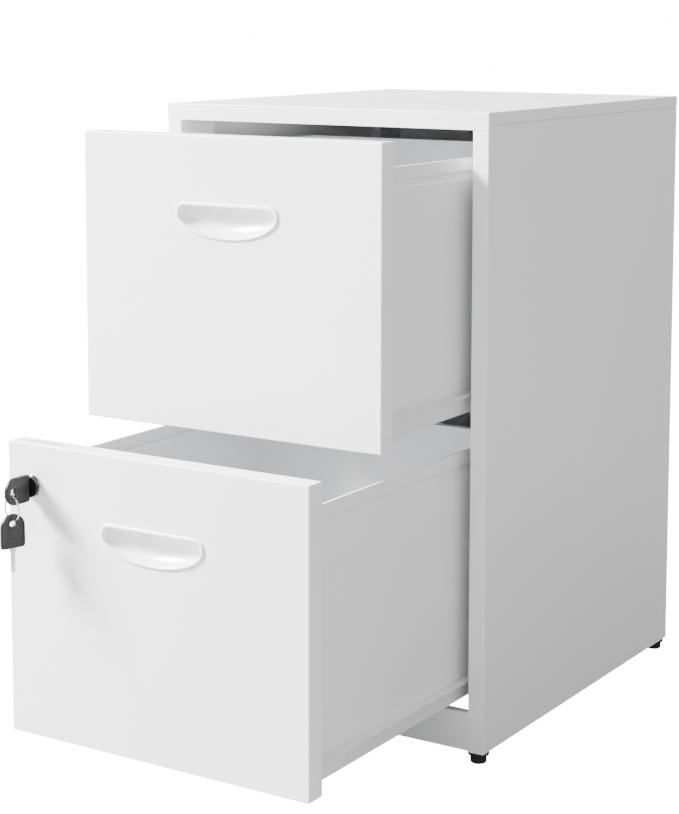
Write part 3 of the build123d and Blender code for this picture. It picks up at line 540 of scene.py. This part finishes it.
black_cap = finish_with(
    "black_cap", plastic_skin, (0.005, 0.005, 0.0055), (0.24, 0.36), 1500.0, bump=0.05, specular=0.4
)
clothe(["lock_plug"], black_cap)
# Painted shade: the flat bar is coloured near black and kept matt with no specular, so the slot it sits in
# reads as a dark line of shade.
black_oxide = finish_with(
    "black_oxide", metal_skin, (0.006, 0.006, 0.0065), (0.8, 0.9), 900.0, bump=0.05, specular=0.0
)
clothe(["lock_bar"], black_oxide)

# ---------------------------------------------------------------- keys and ring
# Two keys with moulded bows and milled, nickel-plated blades, on one split ring wound from
# spring wire. One key stands in the lock and the spare hangs from the ring.
key_black = finish_with(
    "key_black", plastic_skin, (0.007, 0.007, 0.0075), (0.36, 0.5), 1300.0,
    bump=0.14, depth=0.0004, specular=0.35,
)
key_nickel = finish_with(
    "key_nickel", metal_skin, (0.6, 0.595, 0.585), (0.2, 0.36), 1100.0, metallic=1.0, bump=0.1
)
ring_wire = finish_with(
    "ring_wire", metal_skin, (0.66, 0.66, 0.665), (0.1, 0.2), 1400.0, metallic=1.0, bump=0.04
)


def key_bow(name, origin, along, side, thick):
    """Moulded bow, D-shaped: a half circle of 13 mm radius, then straight sides to a flat shoulder
    32.5 mm from the round end. The grid is a ring twice over: columns go round the hole by angle,
    and rows run over the outer edge, across one face, through the hole and back on the other
    face. A ray from the hole's centre meets the outline at the nearest of its walls, and faces are
    sunk 0.35 mm between a raised border and a raised collar."""
    bow_radius, bow_length, hole_from_end, hole_radius = 13.0, 32.5, 9.0, 3.6
    half, edge, collar, squareness = 2.08, 1.0, 0.5, 14
    angle = np.linspace(0, 2 * np.pi, 160, endpoint=False)
    u, v = np.cos(angle), np.sin(angle)
    to_side = bow_radius / np.maximum(np.abs(v), 1e-6)
    to_shoulder = np.where(u > 0, (bow_length - hole_from_end) / np.maximum(u, 1e-6), 1e6)
    offset = bow_radius - hole_from_end
    to_arc = u * offset + np.sqrt(np.maximum((u * offset) ** 2 - offset**2 + bow_radius**2, 0))
    meets_arc = hole_from_end + to_arc * u < bow_radius
    nearest, further = np.minimum(to_side, to_shoulder), np.maximum(to_side, to_shoulder)
    softened = (nearest**-squareness + further**-squareness) ** (-1 / squareness)
    outer = np.where(meets_arc, to_arc, np.where(u > 0, softened, nearest))
    inner = hole_radius * (1 - 0.1 * np.cos(2 * angle)) - 0.1
    across_face = (
        (0.1, 0), (0.16, 0.32), (0.3, 0.35), (0.5, 0.35), (0.7, 0.35), (0.8, 0.3), (0.86, 0), (0.96, 0)
    )
    face_start, face_end = outer - edge, inner + collar
    rows = []
    for step in np.linspace(-np.pi / 2, np.pi / 2, 9):
        rise = (half - edge) * np.sign(np.sin(step)) + np.sin(step)
        rows.append((outer - 1.02 * edge + np.cos(step), rise))
    for share, sink in across_face:
        rows.append((face_start + (face_end - face_start) * share, half - sink))
    for step in np.linspace(np.pi / 2, -np.pi / 2, 7):
        rise = (half - collar) * np.sign(np.sin(step)) + collar * np.sin(step)
        rows.append((face_end - collar * np.cos(step), rise))
    for share, sink in reversed(across_face):
        rows.append((face_start + (face_end - face_start) * share, sink - half))
    reach = np.array([r for r, _ in rows])
    depth = np.array([d + 0 * angle for _, d in rows])
    flat_u, flat_v = hole_from_end + reach * u, reach * v
    points = (
        np.array(origin)
        + flat_u[..., None] * np.array(along) / 1000
        + flat_v[..., None] * np.array(side) / 1000
        + depth[..., None] * np.array(thick) / 1000
    )
    return heal(lay_grid(name, points, closed_along=True))


def key_blade(name, root, along, side, thick):
    """Milled blade 23.5 mm long: each row is a sixteen-sided section whose half width follows the
    cuts, w(s) = 3.45 mm at the shoulder, 2.5 past it, less five rounded notches, down to a blunt
    round tip, with one shallow groove milled in each face."""
    s = np.linspace(0, 23.45, 120)
    shoulder = 1 / (1 + np.exp((s - 3.2) * 3.0))
    cuts = ((6.5, 0.7), (9.3, 1.2), (12.1, 0.5), (14.9, 1.0), (17.7, 0.6))
    notch = sum(depth * np.exp(-(((s - place) / 0.75) ** 2)) for place, depth in cuts)
    tip = np.sqrt(np.clip((23.5 - s) / 2.6, 0, 1))
    upper = (2.5 + 0.95 * shoulder - notch) * tip
    lower = (2.5 + 0.95 * shoulder - 0.35 * notch[::-1]) * tip
    section_v = np.array([1, 1, 0.8, 0.35, 0.2, -0.2, -0.35, -0.8, -1, -1, -0.8, -0.35, -0.2, 0.2, 0.35, 0.8])
    section_w = np.array([-0.55, 0.55, 1, 1, 0.62, 0.62, 1, 1, 0.55, -0.55, -1, -1, -0.62, -0.62, -1, -1])
    v = np.where(section_v > 0, section_v * upper[:, None], section_v * lower[:, None])
    w = section_w * (0.98 * np.where(s > 22.6, 0.8, 1.0))[:, None]
    u = np.broadcast_to(s[:, None], v.shape)
    pole = np.zeros((1, 16))
    u = np.concatenate([u[:1], u, u[-1:]])
    v = np.concatenate([pole, v, pole])
    w = np.concatenate([pole, w, pole])
    points = (
        np.array(root)
        + u[..., None] * np.array(along) / 1000
        + v[..., None] * np.array(side) / 1000
        + w[..., None] * np.array(thick) / 1000
    )
    return heal(lay_grid(name, points, smooth=False))


low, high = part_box("key_bow")
bow = key_bow("key_in_lock_bow", (lock_x, low.y, lock_z), (0, 1, 0), (0, 0, -1), (1, 0, 0))
place_piece(bow, key_black, "lock", "key_plastic", "key_bow")
blade = key_blade("key_in_lock_blade", (lock_x, high.y, lock_z), (0, 1, 0), (0, 0, 1), (1, 0, 0))
place_piece(blade, key_nickel, "lock", "key_steel", "key_blade")

low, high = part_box("key_ring")
ring_centre = (low + high) / 2
yaw = math.radians(-15)
ring_across = np.array([math.cos(yaw), math.sin(yaw), 0])
ring_normal = np.array([-math.sin(yaw), math.cos(yaw), 0])


def split_ring(name, centre, across, normal, outer, wire):
    """Two turns of round wire side by side: the path's angle a runs through two circles while it
    moves along the normal by a smooth step of one wire in the middle, and each row is a circle of
    the wire across the path, closed to a point at both ends."""
    steps = 240
    a = np.linspace(0, 4 * np.pi, steps)
    t = np.clip((a - 1.6 * np.pi) / (0.8 * np.pi), 0, 1)
    drift = (t * t * (3 - 2 * t) - 0.5) * 2 * wire
    spin = np.linspace(0, 2 * np.pi, 14, endpoint=False)
    from_end = np.minimum(np.arange(steps), np.arange(steps)[::-1])
    swell = wire * np.minimum(1, from_end / 2.0)
    reach = (outer - 2 * wire * 0.9) + swell[:, None] * np.cos(spin)
    lift = drift[:, None] + swell[:, None] * np.sin(spin)
    up = np.array([0, 0, 1.0])
    points = (
        np.array(centre)
        + (reach * np.cos(a)[:, None])[..., None] * across
        + (reach * np.sin(a)[:, None])[..., None] * up
        + lift[..., None] * normal
    )
    return heal(lay_grid(name, points))


ring = split_ring("split_ring", ring_centre, ring_across, ring_normal, (high.z - low.z) / 2, 0.00044)
place_piece(ring, ring_wire, "key_ring", "ring_steel", "key_ring")

low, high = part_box("spare_key_bow")
spare_top = ((low.x + high.x) / 2, (low.y + high.y) / 2, high.z)
bow = key_bow("spare_bow", spare_top, (0, 0, -1), ring_normal, ring_across)
place_piece(bow, key_black, "spare_key", "key_plastic", "spare_key_bow")
low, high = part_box("spare_key_blade")
spare_root = ((low.x + high.x) / 2, (low.y + high.y) / 2, high.z)
blade = key_blade("spare_blade", spare_root, (0, 0, -1), ring_normal, ring_across)
place_piece(blade, key_nickel, "spare_key", "key_steel", "spare_key_blade")

# ---------------------------------------------------------------- camera and light
# A long lens a little above the cabinet's top, looking down from its front right, with one
# soft lamp high on the far left, a weak wide one straight ahead, and an even white room.
eye = bpy.data.cameras.new("eye")
eye.sensor_width = 36.0
eye.lens = 88.844
eye.shift_x = 0.0335
eye.shift_y = -0.2
eye_object = bpy.data.objects.new("eye", eye)
eye_object.location = (1.0852, -1.7482, 0.7375)
eye_object.rotation_euler = (math.radians(90 - 6.623), 0, math.radians(33.034))
bpy.context.scene.collection.objects.link(eye_object)
bpy.context.scene.camera = eye_object


def soft_lamp(name, place, target, size, watts):
    """Square area lamp at a place, turned to a target."""
    lamp = bpy.data.lights.new(name, "AREA")
    lamp.size = size
    lamp.energy = watts
    lamp_object = bpy.data.objects.new(name, lamp)
    lamp_object.location = place
    aim = np.array(target) - np.array(place)
    reach = math.hypot(aim[0], aim[1])
    lamp_object.rotation_euler = (math.atan2(reach, -aim[2]), 0, math.atan2(-aim[0], aim[1]))
    bpy.context.scene.collection.objects.link(lamp_object)


soft_lamp("key_lamp", (-2.7, -1.75, 2.6), (0, -0.15, 0.4), 1.1, 1230)
soft_lamp("front_fill", (0.3, -3.4, 0.9), (0, 0.1, 0.4), 1.6, 18)
room = bpy.data.worlds.new("room")
room.use_nodes = True
walls = room.node_tree
walls.nodes["Background"].inputs["Color"].default_value = (1, 1, 1, 1)
seen = walls.nodes.new("ShaderNodeLightPath")
brightness = spread(walls, seen.outputs["Is Camera Ray"], 0.0, 1.0, 1.12, 16.0)
walls.links.new(brightness, walls.nodes["Background"].inputs["Strength"])
bpy.context.scene.world = room

floor_mesh = bpy.data.meshes.new("floor")
floor_mesh.from_pydata([(-14, -14, 0), (14, -14, 0), (14, 14, 0), (-14, 14, 0)], [], [(0, 1, 2, 3)])
floor = bpy.data.objects.new("floor", floor_mesh)
bpy.context.scene.collection.objects.link(floor)
paper = bpy.data.materials.new("paper_sweep")
paper.use_nodes = True
sweep = paper.node_tree
sweep.nodes["Principled BSDF"].inputs["Roughness"].default_value = 0.8
sweep.nodes["Principled BSDF"].inputs["Base Color"].default_value = (0.3, 0.3, 0.3, 1)
sweep.nodes["Principled BSDF"].inputs["Emission Color"].default_value = (1, 1, 1, 1)
glance = sweep.nodes.new("ShaderNodeLightPath")
sweep.links.new(
    spread(sweep, glance.outputs["Is Camera Ray"], 0.0, 1.0, 0.0, 16.0),
    sweep.nodes["Principled BSDF"].inputs["Emission Strength"],
)
floor_mesh.materials.append(paper)
floor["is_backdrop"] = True

low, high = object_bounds()
